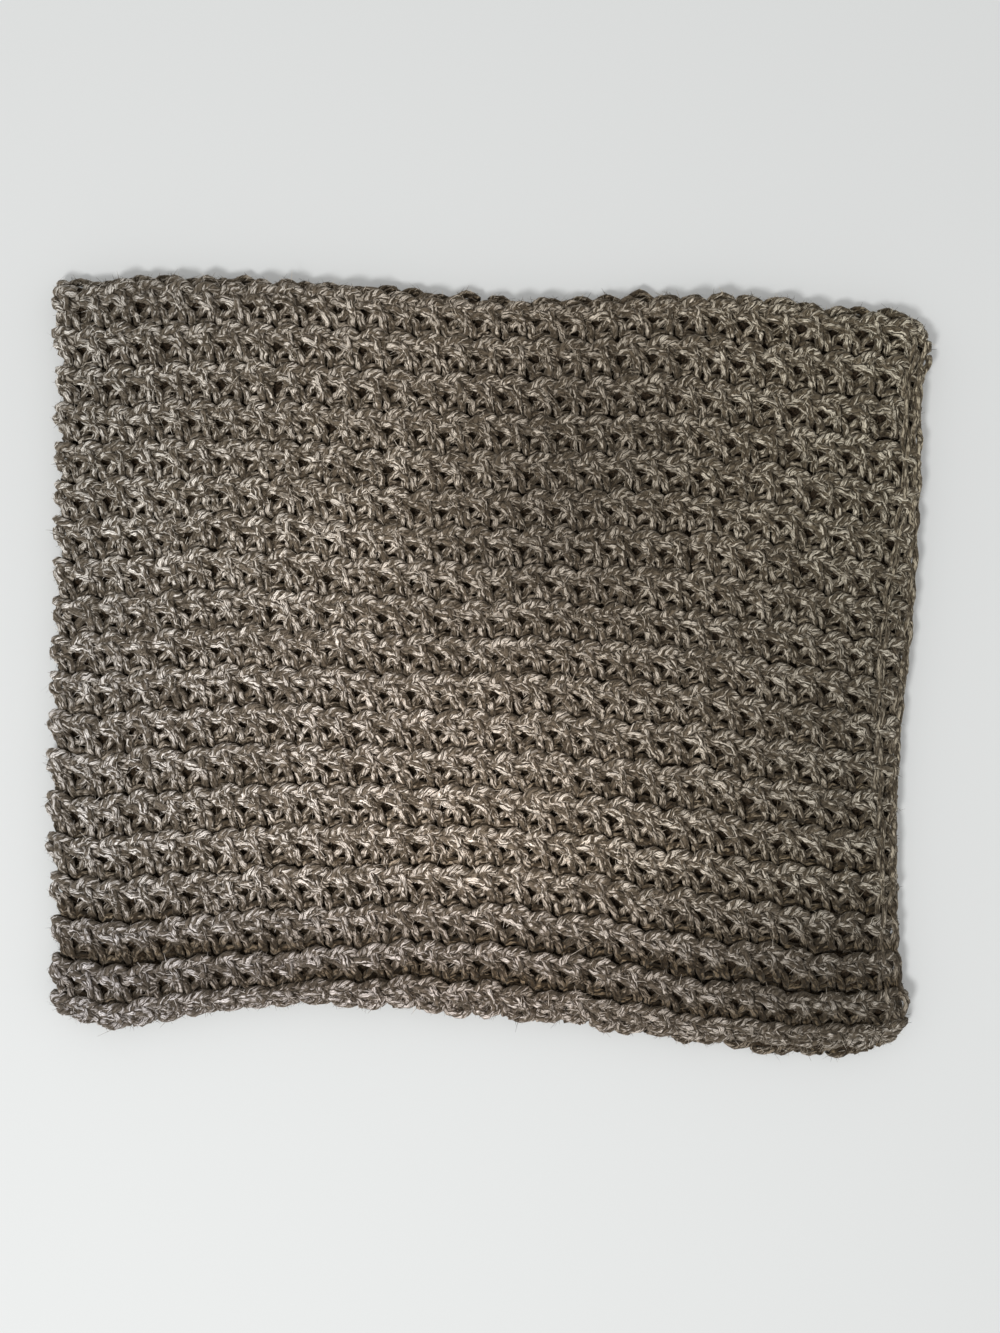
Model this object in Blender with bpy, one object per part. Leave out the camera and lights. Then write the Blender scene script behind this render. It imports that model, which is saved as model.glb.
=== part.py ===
"""Crocheted infinity scarf, a ribbed tube laid flat so that its front lies on its back.

Metres, +Z up. X runs along the rounds, +Y towards the top edge. The origin is under the
middle of the scarf, on the surface that it lies on.
"""

import math

import bmesh
import bpy
import numpy as np

MM = 0.001

# --- Driving dimensions, in millimetres ------------------------------------------------
ROUNDS = 19
FURROW_WALL = 3.8  # the cloth in a furrow between two ridges
RIDGE_RISE = 2.4  # how far a ridge stands above its furrows
HEM_FURROWS = 3  # the last furrows, pressed deeper where the cloth is bunched
HEM_FURROW_EXTRA = 0.9
BACK_WALL = 5.8
LAYER_GAP = 0.3  # between the two layers, and between their halves of a fold
EDGE_SHARE = 0.45  # of the wall's thickness, left where it rounds off at an open edge
FIRST_RIDGE_SHARE = 0.6  # the first round has no furrow above it
STATION_STEP = 11.0
BACK_STATIONS = 10
SEAM_WIDTH = 2.6
SEAM_CLEARANCE = 0.3
SEAM_SIDE = 0.6
SEAM_CROWN = 1.6

# One round, from the furrow above it to the one below, as shares of its height.
ROUND_COLUMNS = ("down", "height")
ROUND_PROFILE = (
    (0.00, 0.00),
    (0.14, 0.86),
    (0.34, 1.00),
    (0.62, 0.84),
    (0.86, 0.62),
)

# Where a side fold's section has its points, as shares of the wall in from the fold.
FOLD_STEPS = (0.0, 0.13, 0.42)
FOLD_INSIDE = (0.75, 0.2)  # the inner points start this deep and close up by this

# The side folds, by rounds down from the top edge. seam is the distance of the join from
# the right fold.
SIDE_COLUMNS = ("rounds", "left", "right", "seam")
SIDES = (
    (0.0, -145.5, 145.5, 5.0),
    (0.5, -147.0, 148.0, 5.0),
    (1.5, -145.5, 145.5, 4.5),
    (4.0, -145.5, 143.5, 4.5),
    (8.0, -146.0, 140.5, 9.0),
    (10.0, -147.0, 137.5, 7.5),
    (14.5, -148.0, 136.0, 5.0),
    (16.5, -146.5, 137.5, 6.0),
    (18.0, -147.5, 140.5, 7.0),
    (18.6, -146.5, 138.5, 7.0),
    (19.0, -143.5, 134.0, 6.5),
)

# The open edges and the rounds between them, by the distance along the rounds. bow is how
# far the middle rounds lie above an even spacing, and back_shows how far the back's hem
# reaches past the front's.
LENGTH_COLUMNS = ("along", "top", "last_furrow", "hem", "bow", "back_shows")
LENGTHS = (
    (-148.0, 127.5, -109.0, -115.0, 3.0, -1.5),
    (-132.0, 129.0, -111.0, -119.5, 3.0, -1.5),
    (-95.0, 129.0, -108.0, -115.0, 4.0, -1.5),
    (-68.0, 128.5, -106.0, -112.5, 3.0, -1.5),
    (-40.0, 127.0, -103.0, -113.5, 0.0, -1.5),
    (10.0, 124.0, -104.5, -117.5, 1.0, -1.0),
    (62.0, 125.5, -114.5, -123.0, 2.5, 1.5),
    (104.0, 122.0, -119.5, -126.5, 0.5, 3.5),
    (126.0, 120.5, -119.5, -126.0, -2.5, 3.0),
    (137.0, 118.5, -118.5, -122.5, -3.0, 2.0),
    (148.0, 112.5, -115.5, -118.0, -3.0, 1.0),
)

# Soft swells where the front is bunched and lifts off the back.
SWELL_COLUMNS = ("x", "y", "half_length", "half_width", "turn", "lift")
SWELLS = (
    (-60.0, -86.0, 80.0, 9.0, 1.0, 2.0),
    (62.0, -92.0, 66.0, 11.0, -10.0, 1.7),
    (24.0, -14.0, 80.0, 20.0, -8.0, 0.9),
    (104.0, 66.0, 40.0, 16.0, -4.0, 0.8),
    (-20.0, 116.0, 110.0, 9.0, -1.0, 0.7),
)

CLOTH_COLOUR = (0.145, 0.118, 0.090, 1.0)
SEAM_COLOUR = (0.200, 0.165, 0.128, 1.0)
YARN_ROUGHNESS = 0.95
SHARP_ANGLE = 50


# --- Reading the tables ----------------------------------------------------------------
def by_column(names, rows):
    return {name: np.array(values) for name, values in zip(names, zip(*rows))}


def smooth(table, key, name, at):
    """The smooth curve through a table's points (key, name), read at `at`."""
    places, values = table[key], table[name]
    slopes = np.gradient(values, places)
    k = np.clip(np.searchsorted(places, at, side="right") - 1, 0, len(places) - 2)
    span = places[k + 1] - places[k]
    t = np.clip((at - places[k]) / span, 0.0, 1.0)
    from_start = values[k] * (1 + 2 * t) + slopes[k] * span * t
    from_end = values[k + 1] * (3 - 2 * t) - slopes[k + 1] * span * (1 - t)
    return from_start * (1 - t) ** 2 + from_end * t**2


SIDE_TABLE = by_column(SIDE_COLUMNS, SIDES)
LENGTH_TABLE = by_column(LENGTH_COLUMNS, LENGTHS)


# --- The form of the cloth -------------------------------------------------------------
def across(x, rounds, back):
    """Y of the line that lies `rounds` below the top edge."""
    top, last, hem, bow, back_shows = (
        smooth(LENGTH_TABLE, "along", name, x) for name in LENGTH_COLUMNS[1:]
    )
    if back:
        hem = hem - back_shows
    share = min(rounds / (ROUNDS - 1), 1.0)
    in_last_round = max(rounds - (ROUNDS - 1), 0.0)
    even = top + (last - top) * share + bow * math.sin(math.pi * share)
    return even + (hem - last) * in_last_round


def swell(x, y):
    """How far the front lifts off the back at each point."""
    lift = np.zeros(len(x))
    for row in SWELLS:
        fold = dict(zip(SWELL_COLUMNS, row))
        turn = math.radians(fold["turn"])
        dx, dy = x - fold["x"], y - fold["y"]
        u = (dx * math.cos(turn) + dy * math.sin(turn)) / fold["half_length"]
        v = (dy * math.cos(turn) - dx * math.sin(turn)) / fold["half_width"]
        lift += fold["lift"] * np.exp(-(u**2) - v**2)
    return lift


def lines_down(profile):
    """(rounds down, wall, share of the wall left) for each line that a panel is lofted on."""
    lines = []
    for k in range(ROUNDS):
        extra = HEM_FURROW_EXTRA if k >= ROUNDS - HEM_FURROWS else 0.0
        for down, height in profile:
            if k == 0:
                height = max(height, FIRST_RIDGE_SHARE)
            wall = FURROW_WALL + RIDGE_RISE * height - extra * (1 - height)
            lines.append((k + down, wall, 1.0))
    lines.append((float(ROUNDS), FURROW_WALL, 1.0))
    for end in (0, -1):
        lines[end] = (*lines[end][:2], EDGE_SHARE)
    return lines


def section(rounds, wall, stations, back):
    """X of each point across a panel from fold to fold, with its depth in from the fold."""
    scallop = FURROW_WALL + RIDGE_RISE - wall
    left = smooth(SIDE_TABLE, "rounds", "left", rounds) + scallop
    right = smooth(SIDE_TABLE, "rounds", "right", rounds) - scallop
    seam = smooth(SIDE_TABLE, "rounds", "seam", rounds) - scallop
    fold = wall * np.array(FOLD_STEPS)
    past_left = np.append(fold, wall)
    past_right = past_left
    if not back:
        past_right = np.append(fold, seam + SEAM_WIDTH / 2 * np.array((-1, 0, 1)))
    shares = np.arange(1, stations + 1) / (stations + 1)
    start, end = left + past_left[-1], right - past_right[-1]
    middle = start + (end - start) * shares
    x = np.concatenate([left + past_left, middle, right - past_right[::-1]])
    return x, np.minimum(x - left, right - x), left, right


def panel(profile, stations, back=False):
    """Outer and inner points of a panel in metres, indexed [station, line]."""
    outer, inner = [], []
    for j, (rounds, wall, kept) in enumerate(lines_down(profile)):
        x, depth, left, right = section(rounds, wall, stations, back)
        rise = np.sqrt(1 - np.clip(1 - depth / wall, 0.0, 1.0) ** 2)
        y = across(x, rounds, back)
        lift = 0.0 if back else rise * swell(x, y)
        wall_z = BACK_WALL * (1 - rise * kept) if back else wall * rise * kept
        base = 0.0 if back else BACK_WALL + LAYER_GAP
        outer.append(np.stack([x, y, base + lift + wall_z], axis=1))
        if j % len(profile) == 0:
            start, close = FOLD_INSIDE
            within = np.maximum(depth, wall * start + depth * close)
            inside = np.where(x < (left + right) / 2, left + within, right - within)
            z = np.full(len(x), BACK_WALL) if back else base + lift
            inner.append(np.stack([inside, across(inside, rounds, back), z], axis=1))
    return (np.array(grid).transpose(1, 0, 2) * MM for grid in (outer, inner))


def outward(grid):
    """Unit normals of a [station, line] grid of points whose front faces up."""
    along = np.gradient(grid, axis=0)
    down = np.gradient(grid, axis=1)
    normals = np.cross(down, along)
    return normals / np.linalg.norm(normals, axis=2, keepdims=True)


# --- Meshes ----------------------------------------------------------------------------
def loft_wall(outer, inner):
    """A closed wall between a fine outer grid and an inner grid with fewer lines."""
    bm = bmesh.new()
    out = [[bm.verts.new(point) for point in station] for station in outer]
    ins = [[bm.verts.new(point) for point in station] for station in inner]
    step = (len(out[0]) - 1) // (len(ins[0]) - 1)
    for i in range(len(out) - 1):
        for grid in (out, ins):
            for j in range(len(grid[0]) - 1):
                bm.faces.new(
                    (grid[i][j], grid[i][j + 1], grid[i + 1][j + 1], grid[i + 1][j])
                )
        for end in (0, -1):
            bm.faces.new((out[i][end], out[i + 1][end], ins[i + 1][end], ins[i][end]))
    for i in (0, -1):
        for k in range(len(ins[0]) - 1):
            for j in range(k * step, (k + 1) * step):
                bm.faces.new((out[i][j], out[i][j + 1], ins[i][k]))
            bm.faces.new((out[i][(k + 1) * step], ins[i][k + 1], ins[i][k]))
    bmesh.ops.recalc_face_normals(bm, faces=bm.faces)
    return bm


def yarn_material(name, colour):
    material = bpy.data.materials.new(name)
    material.use_nodes = True
    shader = material.node_tree.nodes["Principled BSDF"]
    shader.inputs["Base Color"].default_value = colour
    shader.inputs["Roughness"].default_value = YARN_ROUGHNESS
    shader.inputs["Metallic"].default_value = 0.0
    return material


def add_piece(name, bm, material, collection):
    mesh = bpy.data.meshes.new(name)
    bm.to_mesh(mesh)
    bm.free()
    mesh.materials.append(material)
    mesh.shade_smooth()
    mesh.set_sharp_from_angle(angle=math.radians(SHARP_ANGLE))
    piece = bpy.data.objects.new(name, mesh)
    collection.objects.link(piece)
    return piece


def centred(grids):
    """The same grids, with the middle of them all at X = Y = 0."""
    points = np.concatenate([grid.reshape(-1, 3) for grid in grids])
    middle = (points.min(axis=0) + points.max(axis=0)) / 2
    middle[2] = 0.0
    return [grid - middle for grid in grids]


# --- The scarf -------------------------------------------------------------------------
def seam_grids(front):
    """The join, from the front's own points along it, moved out past them."""
    strip = slice(-len(FOLD_STEPS) - 3, -len(FOLD_STEPS))
    points = front[strip, 1:-1]
    normals = outward(front)[strip, 1:-1]
    heights = np.array((SEAM_SIDE, SEAM_CROWN, SEAM_SIDE)).reshape(3, 1, 1)
    under = points + normals * SEAM_CLEARANCE * MM
    return under + normals * heights * MM, under


def build():
    for old in list(bpy.data.objects):
        bpy.data.objects.remove(old, do_unlink=True)
    scarf = bpy.data.collections.new("infinity_scarf")
    bpy.context.scene.collection.children.link(scarf)

    width = SIDE_TABLE["right"].max() - SIDE_TABLE["left"].min()
    front, front_inside = panel(ROUND_PROFILE, round(width / STATION_STEP))
    back, back_inside = panel(ROUND_PROFILE[::2], BACK_STATIONS, back=True)
    seam, seam_inside = seam_grids(front)
    grids = (front, front_inside, back, back_inside, seam, seam_inside)
    front, front_inside, back, back_inside, seam, seam_inside = centred(grids)

    cloth = yarn_material("taupe_cloth", CLOTH_COLOUR)
    under_cloth = yarn_material("taupe_under_cloth", CLOTH_COLOUR)
    join_yarn = yarn_material("taupe_join_yarn", SEAM_COLOUR)
    add_piece("front_panel", loft_wall(front, front_inside), cloth, scarf)
    add_piece("back_panel", loft_wall(back, back_inside), under_cloth, scarf)
    add_piece("join_seam", loft_wall(seam, seam_inside), join_yarn, scarf)


build()
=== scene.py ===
# %% [markdown]
# # A crocheted infinity scarf, laid flat
# A hand-crocheted tube of marled taupe yarn lies flat, so that its front covers its back.
# The solid model gives the frame: two panels and the join where each round was closed.
# Here the cloth is worked again as real stitches. Each stitch is a handful of short strands
# of thick yarn, placed by one map from stitches and rounds to the surface of the tube.

# %% Load the frame
import math
from collections import namedtuple

import bpy
import numpy as np
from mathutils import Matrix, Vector


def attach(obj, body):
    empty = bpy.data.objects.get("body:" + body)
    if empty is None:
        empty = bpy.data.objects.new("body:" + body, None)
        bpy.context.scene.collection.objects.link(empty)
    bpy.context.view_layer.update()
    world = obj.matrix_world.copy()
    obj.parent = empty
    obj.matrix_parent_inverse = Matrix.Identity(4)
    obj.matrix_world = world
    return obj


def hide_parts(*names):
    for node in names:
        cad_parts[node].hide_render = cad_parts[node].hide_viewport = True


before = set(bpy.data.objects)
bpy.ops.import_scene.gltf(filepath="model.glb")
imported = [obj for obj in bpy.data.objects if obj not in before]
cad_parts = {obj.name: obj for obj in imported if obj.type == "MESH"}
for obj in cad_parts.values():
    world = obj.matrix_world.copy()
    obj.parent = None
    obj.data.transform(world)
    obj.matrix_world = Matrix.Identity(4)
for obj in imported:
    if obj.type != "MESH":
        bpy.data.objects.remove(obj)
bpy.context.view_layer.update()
MM = 0.001

# %% [markdown]
# ## The outline of the cloth
# The same short tables as in the solid part say where the side folds, the open edges and the
# swells lie, in millimetres. More values say where the stitches sit: their columns pinch
# together at mid-height, the rounds sag and sway a little, and some furrows lie deeper.

# %% Tables of the form
ROUNDS, AROUND = 19, 61

SIDE_COLUMNS = ("rounds", "left", "right", "seam")
SIDES = (
    (0.0, -145.5, 145.5, 5.0), (0.5, -147.0, 148.0, 5.0), (1.5, -145.5, 145.5, 4.5),
    (4.0, -145.5, 143.5, 4.5), (8.0, -146.0, 140.5, 9.0), (10.0, -147.0, 137.5, 7.5),
    (14.5, -148.0, 136.0, 5.0), (16.5, -146.5, 137.5, 6.0), (18.0, -147.5, 140.5, 7.0),
    (18.6, -146.5, 138.5, 7.0), (19.0, -143.5, 134.0, 6.5),
)
LENGTH_COLUMNS = ("along", "top", "last_furrow", "hem", "bow", "back_shows")
LENGTHS = (
    (-148.0, 127.5, -109.0, -115.0, 3.0, -1.5), (-132.0, 129.0, -111.0, -119.5, 3.0, -1.5),
    (-95.0, 129.0, -108.0, -115.0, 4.0, -1.5), (-68.0, 128.5, -106.0, -112.5, 3.0, -1.5),
    (-40.0, 127.0, -103.0, -113.5, 0.0, -1.5), (10.0, 124.0, -104.5, -117.5, 1.0, -1.0),
    (62.0, 125.5, -114.5, -123.0, 2.5, 1.5), (104.0, 122.0, -119.5, -126.5, 0.5, 3.5),
    (126.0, 120.5, -119.5, -126.0, -2.5, 3.0), (137.0, 118.5, -118.5, -122.5, -3.0, 2.0),
    (148.0, 112.5, -115.5, -118.0, -3.0, 1.0),
)
SWELL_COLUMNS = ("x", "y", "half_length", "half_width", "turn", "lift")
SWELLS = (
    (-60.0, -86.0, 80.0, 9.0, 1.0, 2.0), (62.0, -92.0, 66.0, 11.0, -10.0, 1.7),
    (24.0, -14.0, 80.0, 20.0, -8.0, 0.9), (104.0, 66.0, 40.0, 16.0, -4.0, 0.8),
    (-20.0, 116.0, 110.0, 9.0, -1.0, 0.7),
)

# X of three columns of stitches, at the gap in the stitch, by rounds down from the top: a
# stitch is about 9.7 mm wide at both edges and 9.3 mm at mid-height.
COLUMN_NUMBERS = (1, 16, 28)
COLUMN_LINES = (
    (0.0, -129.0, 14.0, 134.0),
    (9.5, -131.5, 9.0, 120.0),
    (18.5, -131.5, 14.0, 130.0),
)
# The rounds sag a little between even spacing and sway about it as they go down, in rounds.
SAG, SAG_SWAY, SWAY_EVERY, SWAY_FROM = 0.09, 0.07, 14.0, 4.5
# How far the crest of the top round lies above or below the top of the cloth, by X.
CREST_ALONG = (-148, -120, -40, 45, 95, 123, 148)
CREST_LIFT = (0.5, 1.0, 0.0, -1.5, 0.0, -1.5, 1.0)
# How deep the furrow above each round is, and how much painted shade darkens it, from 0 to 1, by
# rounds and by X.
FURROW_ALONG = (-147, -124, -108, -92, -60, -20, 12, 45, 80, 110, 137)
FURROW_LINES = (
    (6, 0.00, 0.00, 0.00, 0.00, 0.00, 0.00, 0.00, 0.00, 0.00, 0.00, 0.00),
    (13, 0.25, 0.20, 0.20, 0.20, 0.20, 0.20, 0.20, 0.20, 0.25, 0.30, 0.35),
    (15, 0.35, 0.25, 0.20, 0.20, 0.20, 0.20, 0.20, 0.25, 0.35, 0.45, 0.50),
    (16, 0.70, 0.45, 0.30, 0.22, 0.20, 0.20, 0.25, 0.35, 0.50, 0.65, 0.75),
    (17, 0.70, 0.95, 1.15, 0.90, 0.50, 0.40, 0.55, 0.90, 1.10, 1.20, 1.10),
    (18, 0.40, 0.40, 0.45, 0.70, 1.05, 1.05, 0.85, 0.80, 1.00, 1.10, 0.70),
)


def by_column(names, rows):
    return {name: np.array(values) for name, values in zip(names, zip(*rows))}


def smooth_curve(places, values, at):
    """The smooth curve through (places, values), read at `at`, level past both ends."""
    places, values = np.asarray(places, float), np.asarray(values, float)
    slopes = np.gradient(values, places)
    k = np.clip(np.searchsorted(places, at, side="right") - 1, 0, len(places) - 2)
    span = places[k + 1] - places[k]
    t = np.clip((at - places[k]) / span, 0.0, 1.0)
    from_start = values[k] * (1 + 2 * t) + slopes[k] * span * t
    from_end = values[k + 1] * (3 - 2 * t) - slopes[k + 1] * span * (1 - t)
    return from_start * (1 - t) ** 2 + from_end * t**2


def ramp(value, start, end):
    """0 before start, 1 past end, and a smooth step between."""
    t = np.clip((value - start) / (end - start), 0.0, 1.0)
    return t * t * (3 - 2 * t)


SIDE_TABLE = by_column(SIDE_COLUMNS, SIDES)
LENGTH_TABLE = by_column(LENGTH_COLUMNS, LENGTHS)
# The part's origin is under the middle of its outline.
MIDDLE = (
    (SIDE_TABLE["left"].min() + SIDE_TABLE["right"].max()) / 2,
    (LENGTH_TABLE["top"].max() + (LENGTH_TABLE["hem"] - LENGTH_TABLE["back_shows"]).min()) / 2,
)
print("tables of", len(SIDES), "side points and", len(LENGTHS), "points along the edges")

# %% [markdown]
# ## One map for the whole tube
# `stitch` counts columns of stitches round the tube, `down` counts rounds from the top edge,
# and `out` is the height above the middle of the cloth. The tube is flattened, so its section
# is two straight layers with a half circle at each side. A fine grid of this map is computed
# once, and every strand of yarn is then bent over it.

# %% The map from stitches to the surface
FRONT_MIDDLE, BACK_MIDDLE = 8.8, 2.65  # height of the middle of each layer
REACH = 3.5  # from the middle of the cloth to the outside of the yarn
FOLD_RADIUS = (FRONT_MIDDLE - BACK_MIDDLE) / 2
FOLD_CENTRE = (FRONT_MIDDLE + BACK_MIDDLE) / 2
FOLD_INSET = REACH + FOLD_RADIUS
QUARTER = FOLD_RADIUS * math.pi / 2
FIRST_DOWN, LAST_DOWN, DOWN_STEP, STITCH_STEP = -1.0, 20.0, 0.05, 0.1
PRESSED = 0.8  # yarn nearer to the ground than this is pressed flat
LEFT_BULGE, RIGHT_BULGE = 3.0, 1.0  # how far the loops stand out past the cloth at each fold
CORNER_POINT = 1.3  # the last loop of the top edge is drawn out to a point at the right
# FURROW_SHADE is painted shade: it sinks the heights that set the painted depth shade further than
# the yarn itself sinks.
FURROW_DEPTH, FURROW_SHADE = 2.2, 3.4  # where the table of furrows says 1
FURROW_ABOVE, FURROW_BELOW = 0.32, 0.15  # half widths either side of its line, in rounds
FURROW_WAVE = 0.06  # how far the line of a furrow waves with each stitch, in rounds
CREST_DROP, HEM_DROP = 1.0, 1.6  # how far the front's open edges lie down on the back
SWELL_INSET, WAVER_INSET = 22.0, 16.0  # in from a fold, where swells and wavers are whole
LINE_WAVER, HEIGHT_WAVER = 0.035, 0.25  # of the rounds and of the front, in rounds and mm
LINE_SEED, HEIGHT_SEED, WAVES = 11, 12, 14
DEEP_SHARE = 0.85  # strands below the middle of the cloth are drawn in to this share
BACK_PRESS = 0.2  # and those of the back are pressed flatter by this share


def across(x, down, back):
    """Y of the line that lies `down` rounds below the top edge."""
    top, last, hem, bow, back_shows = (
        smooth_curve(LENGTH_TABLE["along"], LENGTH_TABLE[name], x)
        for name in LENGTH_COLUMNS[1:]
    )
    hem = hem - back_shows * back
    share = np.minimum(down / (ROUNDS - 1), 1.0)
    in_last_round = np.maximum(down - (ROUNDS - 1), 0.0)
    even = top + (last - top) * share + bow * np.sin(math.pi * np.clip(share, 0, 1))
    return even + (hem - last) * in_last_round


def swell(x, y):
    """How far the front lifts off the back."""
    lift = np.zeros_like(x)
    for row in SWELLS:
        fold = dict(zip(SWELL_COLUMNS, row))
        turn = math.radians(fold["turn"])
        dx, dy = x - fold["x"], y - fold["y"]
        u = (dx * math.cos(turn) + dy * math.sin(turn)) / fold["half_length"]
        v = (dy * math.cos(turn) - dx * math.sin(turn)) / fold["half_width"]
        lift += fold["lift"] * np.exp(-(u**2) - v**2)
    return lift


def read_lines(along, lines, x, down):
    """A table by X, with a row for each of some rounds, read between its rows."""
    rounds = [row[0] for row in lines]
    total = 0.0
    for row, share in zip(lines, np.eye(len(lines))):
        total = total + np.interp(down, rounds, share) * smooth_curve(along, row[1:], x)
    return total


def drift(down):
    """Rounds that a stitch lies lower than even spacing."""
    sway = SAG_SWAY * np.cos(2 * math.pi * (down - SWAY_FROM) / SWAY_EVERY)
    fade = ramp(down, 0.0, 0.6) * (1 - ramp(down, 18.4, 19.0))
    crest = 0.08 * (1 - ramp(down, 0.0, 0.65))
    return (SAG + sway) * fade + crest


def wander(stitch, down, seed, size):
    """A slow, seeded waver over the cloth, which closes round the tube."""
    draw = np.random.default_rng(seed)
    total = np.zeros(np.broadcast(stitch, down).shape)
    for _ in range(WAVES):
        turns, rate = draw.integers(1, 22), draw.uniform(0.1, 1.9)
        phase, sign = draw.uniform(0, 2 * math.pi), draw.choice((-1, 1))
        total += np.sin(2 * math.pi * turns / AROUND * stitch + sign * rate * down + phase)
    return total * size / math.sqrt(WAVES / 2)


def right_bulge(down):
    """How far the loops stand out at the right fold, which is drawn in below its corner."""
    return RIGHT_BULGE * ramp(down, 1.4, 3.4) + CORNER_POINT * (1 - ramp(down, 0.0, 0.8))


def make_map():
    """Points and outward normals of the middle of the cloth, indexed [stitch, down]."""
    stitch = np.arange(0, AROUND, STITCH_STEP)[:, None]
    down = np.arange(FIRST_DOWN, LAST_DOWN + DOWN_STEP / 2, DOWN_STEP)[None, :]
    left = smooth_curve(SIDE_TABLE["rounds"], SIDE_TABLE["left"], down) - LEFT_BULGE
    right = smooth_curve(SIDE_TABLE["rounds"], SIDE_TABLE["right"], down) + right_bulge(down)
    tip_left, tip_right = left + FOLD_INSET - QUARTER, right - FOLD_INSET + QUARTER
    places = [row[0] for row in COLUMN_LINES]
    knots = [
        smooth_curve(places, [row[i + 1] for row in COLUMN_LINES], down[0])
        for i in range(len(COLUMN_NUMBERS))
    ]
    pitch_left = (knots[1] - knots[0]) / (COLUMN_NUMBERS[1] - COLUMN_NUMBERS[0])
    pitch_right = (knots[-1] - knots[-2]) / (COLUMN_NUMBERS[-1] - COLUMN_NUMBERS[-2])
    first = COLUMN_NUMBERS[0] - (knots[0] - tip_left[0]) / pitch_left
    last = COLUMN_NUMBERS[-1] + (tip_right[0] - knots[-1]) / pitch_right
    # Count from just before the left fold, so that the front is first .. last.
    count = (stitch + 1.5) % AROUND - 1.5
    on_front = (count >= first) & (count <= last)
    reach = np.zeros(np.broadcast(stitch, down).shape)
    for j in range(down.shape[1]):
        numbers = [first[j] - 1, *COLUMN_NUMBERS, last[j] + 1]
        lines = [tip_left[0, j] - pitch_left[j]]
        lines += [k[j] for k in knots]
        lines += [tip_right[0, j] + pitch_right[j]]
        reach[:, j] = smooth_curve(numbers, lines, count[:, 0])
    behind = np.where(count < first, count + AROUND, count)
    share = (behind - last) / (first + AROUND - last)
    reach = np.where(on_front, reach, tip_right + (tip_left - tip_right) * share)
    reach = np.clip(reach, tip_left, tip_right)

    side = np.where(on_front, 1.0, -1.0)
    flat_left, flat_right = left + FOLD_INSET, right - FOLD_INSET
    past = np.where(reach < flat_left, reach - flat_left, np.maximum(reach - flat_right, 0))
    turn = past / FOLD_RADIUS
    x = np.clip(reach, flat_left, flat_right) + FOLD_RADIUS * np.sin(turn)
    z = FOLD_CENTRE + side * FOLD_RADIUS * np.cos(turn)
    front_share = (z - BACK_MIDDLE) / (FRONT_MIDDLE - BACK_MIDDLE)
    lower = down + drift(down) * ramp(front_share, 0, 1)
    lower = lower + wander(stitch, down, LINE_SEED, LINE_WAVER)
    y = across(x, lower, 0.0) * front_share + across(x, lower, 1.0) * (1 - front_share)
    y = y + smooth_curve(CREST_ALONG, CREST_LIFT, x) * (1 - ramp(down, 0.1, 0.6))
    inward = np.minimum(x - left, right - x)
    z = z + swell(x, y) * ramp(inward, FOLD_INSET, SWELL_INSET) * (side > 0)
    drop = CREST_DROP * (1 - ramp(down, -0.1, 0.4)) + HEM_DROP * ramp(down, 18.2, 19.0)
    z = z - drop * front_share
    waver = HEIGHT_WAVER * wander(stitch, down, HEIGHT_SEED, 1.0)
    z = z + waver * ramp(inward, FOLD_INSET, WAVER_INSET) * (side > 0)
    points = np.stack([x, y, z], axis=-1)
    normals = np.stack([np.sin(turn), 0 * x, side * np.cos(turn)], axis=-1)
    return points, normals, first, last


SURFACE, OUTWARD, FIRST_COLUMN, LAST_COLUMN = make_map()
halfway = round((ROUNDS / 2 - FIRST_DOWN) / DOWN_STEP)
print("front columns at mid-height", FIRST_COLUMN[halfway].round(2), LAST_COLUMN[halfway].round(2))


def read_map(grid, stitch, down):
    """The grid read between its points. Stitches wrap round the tube."""
    a = (stitch / STITCH_STEP) % grid.shape[0]
    b = np.clip((down - FIRST_DOWN) / DOWN_STEP, 0, grid.shape[1] - 1.001)
    i, j = np.floor(a).astype(int) % grid.shape[0], np.floor(b).astype(int)
    s, t = (a - np.floor(a))[..., None], (b - j)[..., None]
    i2 = (i + 1) % grid.shape[0]
    one = grid[i, j] * (1 - t) + grid[i, j + 1] * t
    two = grid[i2, j] * (1 - t) + grid[i2, j + 1] * t
    return one * (1 - s) + two * s


Laid = namedtuple("Laid", "points normals outs")


def furrow(stitch, down, x):
    """How deep the cloth sinks between two rounds, and how much painted shade it gets. Most of it
    lies above the line.
    """
    line = down - FURROW_WAVE * np.cos(2 * math.pi * stitch)
    number = np.floor(line + 0.5)
    aside = line - number
    width = np.where(aside < 0, FURROW_ABOVE, FURROW_BELOW)
    sunk = read_lines(FURROW_ALONG, FURROW_LINES, x, number) * np.exp(-((aside / width) ** 2))
    return sunk * (1 - ramp(down, 18.4, 18.8))


def place(stitch, down, out):
    """Strands laid at (stitch, down, out): points in millimetres, normals and heights. The heights
    sink further in the furrows, to paint shade there.
    """
    surface, normals = read_map(SURFACE, stitch, down), read_map(OUTWARD, stitch, down)
    sunk = furrow(stitch, down, surface[..., 0])
    out = np.where(out < 0, out * DEEP_SHARE, out) - FURROW_DEPTH * sunk
    out = out * np.where(normals[..., 2] < 0, 1 + BACK_PRESS * normals[..., 2], 1.0)
    points = surface + normals * out[..., None]
    # Painted shade: the heights handed on sink by FURROW_SHADE more in the furrows, so the yarn
    # there is painted darker.
    return Laid(points, normals, out - FURROW_SHADE * sunk)


def settle(points):
    """Yarn that would reach below the ground is pressed flat on it."""
    z = points[:, 2]
    soft = PRESSED * np.exp(np.minimum(z - PRESSED, 0) / PRESSED)
    points[:, 2] = np.where(z < PRESSED, soft, z)
    return points
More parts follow.
